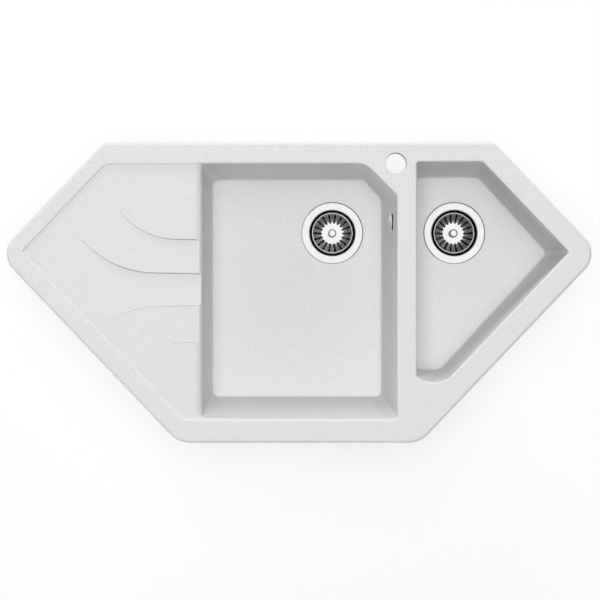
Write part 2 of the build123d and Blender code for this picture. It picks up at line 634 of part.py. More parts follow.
def overflow_elbow():
    """Plastic chamber behind the bowl's side with a spigot that points down."""
    face, r, t = -wall_t() - 2, OVF_CHAMBER_R, 1.6
    back = face - OVF_CHAMBER_H
    down = Pos(0, 0, -spigot_depth()) * Rot(-90, 0, 0)
    body = tube(OVF_FLANGE_R, 0, face - 2.5, face) + tube(r, 0, back, face)
    body += down * tube(PORT_R, 0, 0, OVF_SPIGOT)
    body -= tube(r - t, 0, back + t, face + 1)
    body -= down * tube(PORT_R - 1.4, 0, 0, OVF_SPIGOT + 1)
    return wall_plane() * (body + tube(4, 2.45, back + t / 2, face - 1))


def overflow_path():
    """Hose's centre line from the elbow's spigot down and round to the housing's port."""
    p = wall_plane()
    start = p.from_local_coords(Vector(0, HOSE_TOP, -spigot_depth()))
    down = p.y_dir
    z = under_z() - PORT_DOWN
    turn = start + down * ((start.Z - z) / -down.Z)
    end = Vector(MAIN_DRAIN_X + PORT_REACH - HOSE_ON, OVF_Y, z)
    path = FilletPolyline(start, turn, end, radius=HOSE_BEND_R)
    return path, Plane(origin=start, x_dir=(0, 1, 0), z_dir=down)


def overflow_hose():
    path, start = overflow_path()
    bore = PORT_R + HOSE_GAP
    return sweep(start * Circle(bore + HOSE_T), path) - sweep(start * Circle(bore), path)


def hose_clamps():
    """Band clamp at each end of the hose."""
    r = PORT_R + HOSE_GAP + HOSE_T
    start = overflow_path()[1]
    end = (MAIN_DRAIN_X + PORT_REACH - HOSE_ON, OVF_Y, under_z() - PORT_DOWN)
    port = Plane(origin=end, x_dir=(0, 1, 0), z_dir=(1, 0, 0))
    lug = Pos(r + 2.2, 0, 0) * Box(4.4, 3.2, CLAMP_W) - tube(r + FIT, 0, -CLAMP_W, CLAMP_W)
    band = tube(r + CLAMP_T, r + FIT, -CLAMP_W / 2, CLAMP_W / 2) + lug
    return [place * Pos(0, 0, 2 + CLAMP_W / 2) * band for place in (start, port)]


def clip_places():
    """Location of each clip's screw at the worktop's level, x pointing out over the rim."""
    pts, places = outline_points(), []
    for i, shares in enumerate(CLIP_SHARES):
        (x0, y0), (x1, y1) = pts[i], pts[(i + 1) % len(pts)]
        run = hypot(x1 - x0, y1 - y0)
        u = ((x1 - x0) / run, (y1 - y0) / run)
        for along in shares:
            x, y = x0 + u[0] * run * along - u[1] * CLIP_IN, y0 + u[1] * run * along + u[0] * CLIP_IN
            places.append(Location(Plane(origin=(x, y, 0), x_dir=(u[1], -u[0], 0), z_dir=(0, 0, 1))))
    return places


def clip():
    """Hub that swings on the screw, arm under the worktop and the jaw at its tip."""
    low = -WORKTOP_T - 1 - CLIP_PLATE
    hub = tube(CLIP_HUB_R, 0, low, -PAD_DROP - SLIP)
    arm = Pos(CLIP_ARM / 2, 0, low + CLIP_PLATE / 2) * Box(CLIP_ARM, CLIP_W, CLIP_PLATE)
    jaw = Pos(CLIP_ARM - 2, 0, (low - WORKTOP_T - SLIP) / 2) * Box(4, CLIP_W, -WORKTOP_T - SLIP - low)
    return hub + arm + jaw - tube(CLIP_SCREW_R + FIT, 0, low - 1, 1)


def clip_plug():
    return tube(CLIP_PLUG_R, CLIP_SCREW_R + FIT, -PAD_DROP, -PAD_DROP + CLIP_PLUG_H)


def clip_screw():
    low = -WORKTOP_T - 1 - CLIP_PLATE - SLIP
    head = tube(2.1 * CLIP_SCREW_R, 0, low - 3, low)
    head -= Pos(0, 0, low - 3) * Box(7, 1.2, 2.4)
    return head + tube(CLIP_SCREW_R, 0, low - 1, -PAD_DROP + CLIP_PLUG_H - 1)


def write(shape, name):
    """Write one piece, with the frame's origin moved to the middle of the rear seat.

    A list of shapes becomes one node made of separate solids."""
    move = Pos(0, -(WIDTH - SEAT_W) / 2, 0)
    if isinstance(shape, list):
        shape = Compound([move * s for piece in shape for s in piece.solids()])
    else:
        shape = move * shape
    export_step(shape, "parts/" + name + ".step")


body = sink_body()
for place in clip_places():
    body -= place * tube(CLIP_PLUG_R + FIT, 0, -PAD_DROP - 1, -PAD_DROP + CLIP_PLUG_H + SLIP)
write(body, "sink_body")
for bowl, x in (("main", MAIN_DRAIN_X), ("half", HALF_DRAIN_X)):
    spot = Pos(x, DRAIN_Y, 0)
    write(spot * flange_gasket(), bowl + "_flange_gasket")
    write(spot * strainer_cup(), bowl + "_strainer_cup")
    write(spot * basket(), bowl + "_basket")
    write(spot * basket_seal(), bowl + "_basket_seal")
    write(spot * basket_stem(), bowl + "_basket_stem")
    write(spot * basket_knob(), bowl + "_basket_knob")
    write(spot * lower_gasket(), bowl + "_lower_gasket")
    write(spot * waste_housing(bowl == "main"), bowl + "_waste_housing")
    write(spot * waste_screw(), bowl + "_waste_screw")
    write(spot * coupling_washer(), bowl + "_coupling_washer")
    write(spot * coupling_nut(), bowl + "_coupling_nut")
write(Pos(MAIN_DRAIN_X, DRAIN_Y, 0) * waste_tee(), "waste_tee")
write(Pos(HALF_DRAIN_X, DRAIN_Y, 0) * half_elbow(), "half_elbow")
write(cross_pipe(), "cross_pipe")
write(at_sockets(socket_washer()), "socket_washers")
write(at_sockets(socket_nut()), "socket_nuts")
write(overflow_cover(), "overflow_cover")
write(overflow_screw(), "overflow_screw")
write(overflow_gasket(), "overflow_gasket")
write(overflow_elbow(), "overflow_elbow")
write(overflow_hose(), "overflow_hose")
write(hose_clamps(), "hose_clamps")
write([place * clip_plug() for place in clip_places()], "clip_plugs")
write([place * clip_screw() for place in clip_places()], "clip_screws")
for i, place in enumerate(clip_places()):
    write(place * clip(), "worktop_clip_" + str(i + 1))
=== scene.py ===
import math
import bmesh
import bpy
import numpy as np
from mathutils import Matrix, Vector


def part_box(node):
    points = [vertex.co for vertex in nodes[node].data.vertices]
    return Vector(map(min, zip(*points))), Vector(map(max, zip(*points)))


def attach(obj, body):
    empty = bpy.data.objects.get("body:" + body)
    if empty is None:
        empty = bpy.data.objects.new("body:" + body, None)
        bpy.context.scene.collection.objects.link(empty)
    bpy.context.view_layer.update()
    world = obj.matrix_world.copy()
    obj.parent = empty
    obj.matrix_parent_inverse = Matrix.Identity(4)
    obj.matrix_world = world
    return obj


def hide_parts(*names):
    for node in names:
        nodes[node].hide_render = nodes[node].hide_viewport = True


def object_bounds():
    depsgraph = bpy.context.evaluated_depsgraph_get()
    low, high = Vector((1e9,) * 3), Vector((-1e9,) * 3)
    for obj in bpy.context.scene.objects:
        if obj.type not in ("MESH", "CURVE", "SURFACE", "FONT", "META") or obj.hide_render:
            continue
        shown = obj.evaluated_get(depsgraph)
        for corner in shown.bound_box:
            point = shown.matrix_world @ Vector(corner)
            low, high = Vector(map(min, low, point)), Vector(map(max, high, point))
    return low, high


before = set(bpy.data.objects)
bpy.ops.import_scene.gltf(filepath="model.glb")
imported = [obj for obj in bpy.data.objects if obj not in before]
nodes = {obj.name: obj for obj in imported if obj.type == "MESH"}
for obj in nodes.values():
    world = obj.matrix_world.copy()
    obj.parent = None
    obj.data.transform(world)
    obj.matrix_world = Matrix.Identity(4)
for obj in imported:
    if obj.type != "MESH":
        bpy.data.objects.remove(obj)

cad_box = [list(c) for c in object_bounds()]

# ---------------------------------------------------------------------------------------
# Camera: straight above the sink, level with the picture's middle, long lens.  The rear
# edge with the tap hole is at the top of the picture.
# ---------------------------------------------------------------------------------------
rim_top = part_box("sink_body")[1].z
camera_up, view_width, film_width = 2.98, 1.0014, 36.0
picture_middle = (0.0015, -0.2568)
lens = bpy.data.cameras.new("camera")
lens.sensor_width = film_width
lens.lens = film_width * camera_up / view_width
lens.clip_end = 40.0
camera = bpy.data.objects.new("camera", lens)
camera.location = (*picture_middle, rim_top + camera_up)
bpy.context.scene.collection.objects.link(camera)
bpy.context.scene.camera = camera
bpy.context.scene.view_settings.view_transform = "Standard"


# ---------------------------------------------------------------------------------------
# Studio: a white floor at the lowest point of the waste pipe, a white surround with an even
# fill, a broad soft lamp overhead, two on the tap side, and low weak ones left and in front.
# ---------------------------------------------------------------------------------------
def link(tree, *pairs):
    """Links from the first to the second socket of each pair."""
    for a, b in pairs:
        tree.links.new(a, b)


def set_sockets(shader, **values):
    """Own values of a node's inputs, by name with _ for each space."""
    for key, value in values.items():
        shader.inputs[key.replace("_", " ")].default_value = value


def node(tree, kind, **values):
    """New shader node; values set its properties or, by name, its inputs' own values."""
    made = tree.nodes.new(kind)
    for key, value in values.items():
        if hasattr(made, key):
            setattr(made, key, value)
        else:
            made.inputs[key.replace("_", " ")].default_value = value
    return made


def maths(tree, operation, a, b=None):
    """Output of a Math node whose inputs are sockets or numbers."""
    made = tree.nodes.new("ShaderNodeMath")
    made.operation = operation
    for i, value in enumerate((a, b)):
        if isinstance(value, (int, float)):
            made.inputs[i].default_value = value
        elif value is not None:
            tree.links.new(value, made.inputs[i])
    return made.outputs[0]


def finish_of(name):
    """New material with its tree and its Principled shader."""
    made = bpy.data.materials.new(name)
    made.use_nodes = True
    return made, made.node_tree, made.node_tree.nodes["Principled BSDF"]


def camera_or_gloss(tree):
    """1 for rays that come from the camera or from a glossy or clear surface, else 0."""
    path = tree.nodes.new("ShaderNodeLightPath")
    seen = maths(tree, "MAXIMUM", path.outputs["Is Camera Ray"], path.outputs["Is Glossy Ray"])
    return maths(tree, "MAXIMUM", seen, path.outputs["Is Transmission Ray"])


floor_half, floor_gap = 12.0, 0.0005
ground = cad_box[0][2] - floor_gap
corners = [(-1, -1), (1, -1), (1, 1), (-1, 1)]
floor_mesh = bpy.data.meshes.new("studio_floor")
floor_mesh.from_pydata([(x * floor_half, y * floor_half, ground) for x, y in corners], [],
                       [(0, 1, 2, 3)])
studio_floor = bpy.data.objects.new("studio_floor", floor_mesh)
bpy.context.scene.collection.objects.link(studio_floor)
paper, tree, sheet = finish_of("studio_paper")
set_sockets(sheet, Roughness=0.9, Specular_IOR_Level=0.0, Emission_Color=(1, 1, 1, 1))
seen = camera_or_gloss(tree)
seen_glow, lit_tone, seen_tone = 0.68, 0.80, 0.32
pale = node(tree, "ShaderNodeMapRange", To_Min=lit_tone, To_Max=seen_tone)
link(tree, (maths(tree, "MULTIPLY", seen, seen_glow), sheet.inputs["Emission Strength"]),
     (seen, pale.inputs["Value"]), (pale.outputs["Result"], sheet.inputs["Base Color"]))
floor_mesh.materials.append(paper)

world = bpy.data.worlds.new("studio_surround")
world.use_nodes = True
tree = world.node_tree
fill = tree.nodes["Background"]
set_sockets(fill, Color=(1, 1, 1, 1), Strength=0.04)
white = node(tree, "ShaderNodeBackground", Color=(1, 1, 1, 1), Strength=1.0)
choose = tree.nodes.new("ShaderNodeMixShader")
link(tree, (camera_or_gloss(tree), choose.inputs[0]), (fill.outputs[0], choose.inputs[1]),
     (white.outputs[0], choose.inputs[2]),
     (choose.outputs[0], tree.nodes["World Output"].inputs["Surface"]))
bpy.context.scene.world = world

lamp_aim, lamp_width = Vector((0.0, -0.25, 0.0)), 2.2
for name, place, watts in (("overhead_softbox", (0.0, -0.25, 5.0), 174.0),
                           ("rear_softbox", (0.0, 1.46, 4.70), 38.5),
                           ("low_rear_softbox", (0.0, 4.64, 1.04), 134.0),
                           ("low_left_softbox", (-4.89, -0.25, 1.04), 46.0),
                           ("low_front_softbox", (0.0, -5.14, 1.04), 31.0)):
    lamp = bpy.data.lights.new(name, "AREA")
    lamp.shape, lamp.size, lamp.energy = "DISK", lamp_width, watts
    lit = bpy.data.objects.new(name, lamp)
    lit.visible_glossy = False
    lit.location = place
    lit.rotation_euler = (lamp_aim - Vector(place)).to_track_quat("-Z", "Y").to_euler()
    bpy.context.scene.collection.objects.link(lit)


# ---------------------------------------------------------------------------------------
# Sink body: one moulding of white stone-filled composite, matt with a fine grain and small
# light and grey specks.  Rim, drainer, both bowls and the tap deck are one piece.
# ---------------------------------------------------------------------------------------
def shader_group(name, inputs, outputs):
    """New node group of number sockets, inputs with their own values.  Returned with its
    input and output nodes and a Texture Coordinate node."""
    group = bpy.data.node_groups.new(name, "ShaderNodeTree")
    for title, value in inputs.items():
        made = group.interface.new_socket(name=title, in_out="INPUT",
                                          socket_type="NodeSocketFloat")
        made.default_value = value
    for title in outputs:
        group.interface.new_socket(name=title, in_out="OUTPUT", socket_type="NodeSocketFloat")
    return (group, group.nodes.new("NodeGroupInput"), group.nodes.new("NodeGroupOutput"),
            group.nodes.new("ShaderNodeTexCoord"))


def rgba(mix, name):
    """Colour input A or B of a Mix node that mixes colours."""
    return [s for s in mix.inputs if s.name == name and s.type == "RGBA"][0]


def rgba_out(mix):
    """Colour output of a Mix node that mixes colours."""
    return [s for s in mix.outputs if s.type == "RGBA"][0]


def from_axis(tree, at, x, y):
    """Distance from the upright line through x, y, where at splits the place up."""
    dx = maths(tree, "SUBTRACT", at.outputs["X"], x)
    dy = maths(tree, "SUBTRACT", at.outputs["Y"], y)
    square = maths(tree, "ADD", maths(tree, "MULTIPLY", dx, dx), maths(tree, "MULTIPLY", dy, dy))
    return maths(tree, "SQRT", square)


# Each cell draws a number from 0 to 1: above the first of these it holds a light speck, below
# the second a grey one.
light_above, grey_below = 0.80, 0.16


def stone_grain():
    """Grain of the composite: fine noise, with a small light or grey speck in some of the
    cells of a cell pattern.  Shade is 1 plus the grain plus the specks; Height is the grain."""
    g, gin, gout, place = shader_group(
        "stone_grain", {"Grain Scale": 700.0, "Speck Scale": 380.0, "Grain": 0.10,
                        "Light Speck": 0.12, "Grey Speck": 0.20}, ["Shade", "Height"])
    fine = node(g, "ShaderNodeTexNoise", Detail=4.0, Roughness=0.65)
    cells = node(g, "ShaderNodeTexVoronoi", feature="F1", Randomness=1.0)
    link(g, (place.outputs["Object"], fine.inputs["Vector"]),
         (place.outputs["Object"], cells.inputs["Vector"]),
         (gin.outputs["Grain Scale"], fine.inputs["Scale"]),
         (gin.outputs["Speck Scale"], cells.inputs["Scale"]))
    spot = node(g, "ShaderNodeMapRange", From_Min=0.18, From_Max=0.30, To_Min=1.0, To_Max=0.0)
    split = g.nodes.new("ShaderNodeSeparateColor")
    link(g, (cells.outputs["Distance"], spot.inputs["Value"]),
         (cells.outputs["Color"], split.inputs["Color"]))
    light = maths(g, "GREATER_THAN", split.outputs["Red"], light_above)
    grey = maths(g, "LESS_THAN", split.outputs["Red"], grey_below)
    pale, dull = (maths(g, "MULTIPLY", maths(g, "MULTIPLY", chosen, spot.outputs["Result"]),
                        gin.outputs[strength])
                  for chosen, strength in ((light, "Light Speck"), (grey, "Grey Speck")))
    centred = maths(g, "SUBTRACT", fine.outputs["Fac"], 0.5)
    wave = maths(g, "MULTIPLY", centred, gin.outputs["Grain"])
    shade = maths(g, "ADD", maths(g, "ADD", wave, 1.0), maths(g, "SUBTRACT", pale, dull))
    link(g, (shade, gout.inputs["Shade"]), (fine.outputs["Fac"], gout.inputs["Height"]))
    return g


tap_axis, tap_cut_r = (0.1616, -0.0289), 0.0179


def cut_hole():
    """1 on the knocked-out tap hole's side, given painted shade, 0 farther from its axis."""
    g, gin, gout, place = shader_group("tap_hole_side", {"Near": tap_cut_r}, ["Side"])
    at = g.nodes.new("ShaderNodeSeparateXYZ")
    link(g, (place.outputs["Object"], at.inputs[0]))
    near = maths(g, "LESS_THAN", from_axis(g, at, *tap_axis), gin.outputs["Near"])
    link(g, (near, gout.inputs["Side"]))
    return g


# The drainer's tip and the angle of its slanted edges; how far inside them, and either way
# from the middle, the steps lie; where the bowl's lip starts and ends and what faces along it.
tip_x, tip_y, slant = -0.5031, -0.1793, math.radians(46.4)
step_in, step_reach, middle_y = 0.0385, 0.19, -0.2433
lip_start, lip_end, lip_facing, lowest_step = -0.1765, -0.1655, 0.4, -0.004


def step_sides():
    """1 on the sloping sides of the drainer's steps, which lie inside its two slanted edges
    and clear of its rear and front edges, else 0; there the composite gets painted shade.
    On the bowl's rounded lip only what faces the rear or the front counts, so the lip itself
    stays out."""
    g, gin, gout, place = shader_group("drainer_step_sides", {"Flattest": 0.90}, ["Side"])
    at, up = g.nodes.new("ShaderNodeSeparateXYZ"), g.nodes.new("ShaderNodeSeparateXYZ")
    link(g, (place.outputs["Object"], at.inputs[0]), (place.outputs["Normal"], up.inputs[0]))
    x, y, z = (at.outputs[way] for way in "XYZ")
    aside = maths(g, "ABSOLUTE", maths(g, "SUBTRACT", y, tip_y))
    inward = maths(g, "SUBTRACT",
                   maths(g, "MULTIPLY", maths(g, "SUBTRACT", x, tip_x), math.sin(slant)),
                   maths(g, "MULTIPLY", aside, math.cos(slant)))
    along = maths(g, "GREATER_THAN", maths(g, "ABSOLUTE", up.outputs["Y"]), lip_facing)
    from_middle = maths(g, "ABSOLUTE", maths(g, "SUBTRACT", y, middle_y))
    tests = [maths(g, "LESS_THAN", up.outputs["Z"], gin.outputs["Flattest"]),
             maths(g, "GREATER_THAN", inward, step_in),
             maths(g, "MAXIMUM", maths(g, "LESS_THAN", x, lip_start), along),
             maths(g, "LESS_THAN", x, lip_end), maths(g, "GREATER_THAN", z, lowest_step),
             maths(g, "LESS_THAN", from_middle, step_reach)]
    all_of = tests[0]
    for test in tests[1:]:
        all_of = maths(g, "MULTIPLY", all_of, test)
    link(g, (all_of, gout.inputs["Side"]))
    return g


# Painted shade: how much darker the composite is coloured on the tap hole's side and on the drainer
# steps' sloping sides.
tap_hole_painted_shade, step_painted_shade = 0.64, 0.30


def composite_finish(name, colour):
    """Matt composite, grained and specked; painted shade on the tap hole's and steps' sides."""
    material, tree, shader = finish_of(name)
    set_sockets(shader, Roughness=0.45, Specular_IOR_Level=0.35)
    specks = node(tree, "ShaderNodeGroup", node_tree=stone_grain())
    set_sockets(specks, Grain_Scale=620.0, Speck_Scale=330.0, Grain=0.36, Light_Speck=0.17,
                Grey_Speck=0.22)
    base = node(tree, "ShaderNodeMix", data_type="RGBA", blend_type="MULTIPLY", Factor=1.0)
    cut = node(tree, "ShaderNodeGroup", node_tree=cut_hole())
    steps = node(tree, "ShaderNodeGroup", node_tree=step_sides())
    # Painted shade on the tap hole's side and the steps' sloping sides, taken off the grain's
    # shade.
    painted_shade = maths(tree, "ADD", maths(tree, "MULTIPLY", cut.outputs["Side"], tap_hole_painted_shade),
                   maths(tree, "MULTIPLY", steps.outputs["Side"], step_painted_shade))
    shade = maths(tree, "MULTIPLY", specks.outputs["Shade"], maths(tree, "SUBTRACT", 1.0, painted_shade))
    rgba(base, "A").default_value = (*colour, 1)
    grit = node(tree, "ShaderNodeBump", Strength=0.12, Distance=0.0003)
    rough = node(tree, "ShaderNodeMapRange", From_Min=0.3, From_Max=0.7, To_Min=0.40, To_Max=0.52)
    link(tree, (shade, rgba(base, "B")), (rgba_out(base), shader.inputs["Base Color"]),
         (specks.outputs["Height"], grit.inputs["Height"]),
         (grit.outputs["Normal"], shader.inputs["Normal"]),
         (specks.outputs["Height"], rough.inputs["Value"]),
         (rough.outputs["Result"], shader.inputs["Roughness"]))
    return material


def dress(names, material):
    """Each named piece in that one material."""
    for name in names:
        nodes[name].data.materials.clear()
        nodes[name].data.materials.append(material)


dress(["sink_body"], composite_finish("white_composite", (0.738, 0.739, 0.734)))


# ---------------------------------------------------------------------------------------
# Strainer cups: pressed stainless steel, flange polished, cup coloured near black inside as
# painted shade.  Each lies in a recess of its bowl's floor on a thin gasket and is pulled
# down by the screw in its middle.
# ---------------------------------------------------------------------------------------
def middle_of(low, high):
    """x and y midway between two corners of a box."""
    return (low.x + high.x) / 2, (low.y + high.y) / 2


drains = {bowl: middle_of(*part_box(bowl + "_strainer_cup")) for bowl in ("main", "half")}


def lathe_lines():
    """Fine rings left by turning and polishing, round the nearer of the two strainer axes:
    Radius is the distance from that axis, Rings a noise of radius and height alone."""
    g, gin, gout, place = shader_group("lathe_lines", {"Fineness": 2500.0},
                                       ["Rings", "Cloud", "Radius"])
    at = g.nodes.new("ShaderNodeSeparateXYZ")
    link(g, (place.outputs["Object"], at.inputs[0]))
    radius = maths(g, "MINIMUM", *(from_axis(g, at, x, y) for x, y in drains.values()))
    flat = g.nodes.new("ShaderNodeCombineXYZ")
    rings = node(g, "ShaderNodeTexNoise", Detail=2.0, Roughness=0.6)
    cloud = node(g, "ShaderNodeTexNoise", Detail=3.0, Roughness=0.5, Scale=55.0)
    link(g, (radius, flat.inputs["X"]), (at.outputs["Z"], flat.inputs["Z"]),
         (flat.outputs[0], rings.inputs["Vector"]),
         (gin.outputs["Fineness"], rings.inputs["Scale"]),
         (place.outputs["Object"], cloud.inputs["Vector"]),
         (rings.outputs["Fac"], gout.inputs["Rings"]), (cloud.outputs["Fac"], gout.inputs["Cloud"]),
         (radius, gout.inputs["Radius"]))
    return g


lathe = lathe_lines()
tone_reach_mm, blue_share = 60.0, 0.99


def steel_finish(name, tones, roughness, depth):
    """Steel whose brightness goes by the distance from the strainer's axis, in millimetres:
    painted reflections and painted shade.
    """
    material, tree, shader = finish_of(name)
    set_sockets(shader, Metallic=1.0, Roughness=roughness)
    lines = node(tree, "ShaderNodeGroup", node_tree=lathe)
    ramp = tree.nodes.new("ShaderNodeValToRGB")
    stops = ramp.color_ramp.elements
    while len(stops) < len(tones):
        stops.new(0.5)
    for stop, (r, tone) in zip(stops, tones):
        stop.position = r / tone_reach_mm
        stop.color = (tone, tone, tone * blue_share, 1)
    # Painted reflections and shade by radius, times a slow cloud of tone.
    painted_light_and_cloud = node(tree, "ShaderNodeMix", data_type="RGBA", blend_type="MULTIPLY", Factor=1.0)
    fade = node(tree, "ShaderNodeMapRange", From_Min=0.3, From_Max=0.7, To_Min=0.94, To_Max=1.0)
    rough = node(tree, "ShaderNodeMapRange", From_Min=0.3, From_Max=0.7,
                 To_Min=roughness - 0.05, To_Max=roughness + 0.07)
    scratch = node(tree, "ShaderNodeBump", Strength=depth, Distance=0.0001)
    share = maths(tree, "MULTIPLY", lines.outputs["Radius"], 1000.0 / tone_reach_mm)
    link(tree, (share, ramp.inputs["Fac"]),
         (lines.outputs["Cloud"], fade.inputs["Value"]), (ramp.outputs["Color"], rgba(painted_light_and_cloud, "A")),
         (fade.outputs["Result"], rgba(painted_light_and_cloud, "B")), (rgba_out(painted_light_and_cloud), shader.inputs["Base Color"]),
         (lines.outputs["Rings"], rough.inputs["Value"]),
         (rough.outputs["Result"], shader.inputs["Roughness"]),
         (lines.outputs["Rings"], scratch.inputs["Height"]),
         (scratch.outputs["Normal"], shader.inputs["Normal"]))
    return material


# Tones by radius: inside the cup the steel is coloured near black as painted shade and dark
# reflection; the flange is bright steel.
flange_painted_tones = [(0, 0.03), (37.2, 0.10), (38.0, 0.75), (40.4, 0.78), (41.2, 0.92), (60, 0.92)]
dress(["main_strainer_cup", "half_strainer_cup"],
      steel_finish("flange_steel", flange_painted_tones, roughness=0.15, depth=0.04))


# ---------------------------------------------------------------------------------------
# Baskets: a dish of thin stainless steel with eighteen punched slots in its slope, a flat
# middle and a rolled rim.  Each hangs in its cup and lifts out by the knob.
# ---------------------------------------------------------------------------------------
def grid_quads(rows, columns, round_rows=False):
    """Corner numbers of the quads between neighbouring rows and columns of a grid of points.
    The last column joins the first one, and so does the last row where round_rows is set."""
    i = np.arange(rows if round_rows else rows - 1)[:, None]
    j = np.arange(columns)[None, :]
    over = ((i + 1) % rows) * columns
    beside = (j + 1) % columns
    return np.stack([i * columns + j, i * columns + beside, over + beside, over + j], axis=-1)


def piece_of(name, points, quads, material, bend):
    """Mesh object from points and quads, smooth but for edges that bend more than that."""
    mesh = bpy.data.meshes.new(name)
    mesh.from_pydata(points.reshape(-1, 3).tolist(), [], quads.reshape(-1, 4).tolist())
    mesh.materials.append(material)
    made = bpy.data.objects.new(name, mesh)
    bpy.context.scene.collection.objects.link(made)
    mesh.polygons.foreach_set("use_smooth", np.ones(len(mesh.polygons), bool))
    mesh.set_sharp_from_angle(angle=math.radians(bend))
    return made


basket_rim_r, basket_steel_t, floor_rise = 0.0363, 0.0009, 0.001
slots, slot_half, slot_in, slot_out = 18, 0.0015, 0.0180, 0.0328
slot_columns, land_columns = 7, 4
dish_flat, dish_bend, dish_slope = 0.0160, 0.012, math.radians(57)
straight_from = 0.013


def dish_height(r):
    """Height over the basket's floor at radius r: level, then an arc, then a cone."""
    run = dish_bend * math.sin(dish_slope)
    x = np.clip(r - dish_flat, 0, run)
    rise = dish_bend - np.sqrt(dish_bend ** 2 - x ** 2)
    return rise + np.maximum(r - dish_flat - run, 0) * math.tan(dish_slope)


def basket_piece(name, node_name, material):
    """Point (row, column): rows run from the rolled rim to the middle, columns round the
    dish.  Beside a slot the columns keep a fixed distance from the slot's centre line: the
    angle is the slot's own plus asin(distance / radius), and nearer the axis than
    straight_from they run straight to it.  The rows at a slot's two ends bulge by a half
    circle, and the quads between them inside the slot are left out."""
    low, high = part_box(node_name)
    (centre_x, centre_y), floor_z = middle_of(low, high), low.z + floor_rise
    across = np.linspace(-1, 1, slot_columns)
    land = np.linspace(0, 1, land_columns + 2)[1:-1]
    per_slot = slot_columns + land_columns
    bulge = slot_half * (1 - np.sqrt(1 - across ** 2))
    rim = np.array([(-0.0004, -0.0012), (-0.0001, -0.0008), (-0.0001, -0.0004),
                    (-0.0004, -0.0001), (-0.0008, 0.0), (-0.0016, 0.0), (-0.0020, -0.0002),
                    (-0.0023, -0.0008)])
    slope = [0.0308, 0.0294, 0.0278, 0.0262, 0.0248, 0.0236, 0.0224, 0.0212, 0.0201]
    middle_rows = [0.0173, 0.0160, 0.0130, 0.0100, 0.0075, 0.0052, 0.0034]
    radii = [*(basket_rim_r + rim[:, 0]), slot_out, *slope, slot_in, *middle_rows]
    first, last = len(rim), len(rim) + 1 + len(slope)
    columns, step = slots * per_slot, 2 * math.pi / slots
    points = np.zeros((len(radii), columns, 3))
    for row, r in enumerate(radii):
        at = np.full(per_slot, r)
        if row == first:
            at = np.concatenate([slot_out - bulge, np.full(land_columns, slot_out - slot_half)])
        if row == last:
            at = np.concatenate([slot_in + bulge, np.full(land_columns, slot_in + slot_half)])
        near = np.arcsin(across * slot_half / np.maximum(at[:slot_columns], straight_from))
        edge = np.arcsin(slot_half / np.maximum(at[slot_columns:], straight_from))
        angle = np.concatenate([near, edge + (step - 2 * edge) * land])
        angle = (angle[None, :] + step * np.arange(slots)[:, None]).ravel()
        at = np.tile(at, slots)
        z = high.z + rim[row, 1] if row < len(rim) else floor_z + dish_height(at)
        points[row] = np.stack([centre_x + at * np.cos(angle), centre_y + at * np.sin(angle),
                                z + 0 * at], -1)
    quads = grid_quads(len(radii), columns)
    keep = np.ones(quads.shape[:2], bool)
    keep[first:last, np.arange(columns) % per_slot < slot_columns - 1] = False
    dish = piece_of(name, points, quads[keep], material, bend=60.0)
    wall = dish.modifiers.new("wall", "SOLIDIFY")
    wall.thickness, wall.offset = basket_steel_t, -1.0
    return dish


# Painted reflections by radius: the middle, the lands' inner ends up to 22 mm and the rolled rim
# coloured bright as painted highlights, the slope darker as painted dark reflection.
basket_painted_tones = [(0, 0.94), (22.0, 0.94), (25.5, 0.50), (33.0, 0.40), (34.9, 0.45), (35.2, 0.90)]
basket_steel = steel_finish("basket_steel", basket_painted_tones, roughness=0.16, depth=0.03)
for bowl in drains:
    piece = basket_piece(bowl + "_slotted_basket", bowl + "_basket", basket_steel)
    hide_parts(bowl + "_basket")
    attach(piece, bowl + "_basket_unit")


# ---------------------------------------------------------------------------------------
# Knobs, stems and seals of the baskets: a polished knob on a steel pin, and a black rubber
# bell under the dish that closes the cup's holes.
# ---------------------------------------------------------------------------------------
def turned(name, outline, spot, axis, material, bend, steps=96):
    """Turned piece: its point (i, j) stands at outline point i, (radius, height), and angle
    2 pi j / steps round the axis through spot.  Points on the axis are merged into one."""
    along = np.array(Vector(axis).normalized())
    side = np.array(Vector((0, 1, 0)) if abs(along[1]) < 0.9 else Vector((1, 0, 0)))
    side = side - along * side.dot(along)
    side /= np.linalg.norm(side)
    other = np.cross(along, side)
    r, h = np.array(outline, float).T
    a = 2 * math.pi * np.arange(steps) / steps
    ring = np.cos(a)[:, None] * side + np.sin(a)[:, None] * other
    points = np.array(spot) + r[:, None, None] * ring[None] + h[:, None, None] * along
    on_axis = r[0] == 0 and r[-1] == 0
    made = piece_of(name, points, grid_quads(len(r), steps, not on_axis), material, bend)
    work = bmesh.new()
    work.from_mesh(made.data)
    bmesh.ops.remove_doubles(work, verts=work.verts, dist=1e-7)
    bmesh.ops.recalc_face_normals(work, faces=work.faces)
    work.to_mesh(made.data)
    work.free()
    made.data.set_sharp_from_angle(angle=math.radians(bend))
    return made


def arc(r, h, size, start, end, count):
    """Points of an arc about (r, h), from angle start to end in degrees."""
    a = np.radians(np.linspace(start, end, count))
    return [(r + size * math.cos(t), h + size * math.sin(t)) for t in a]


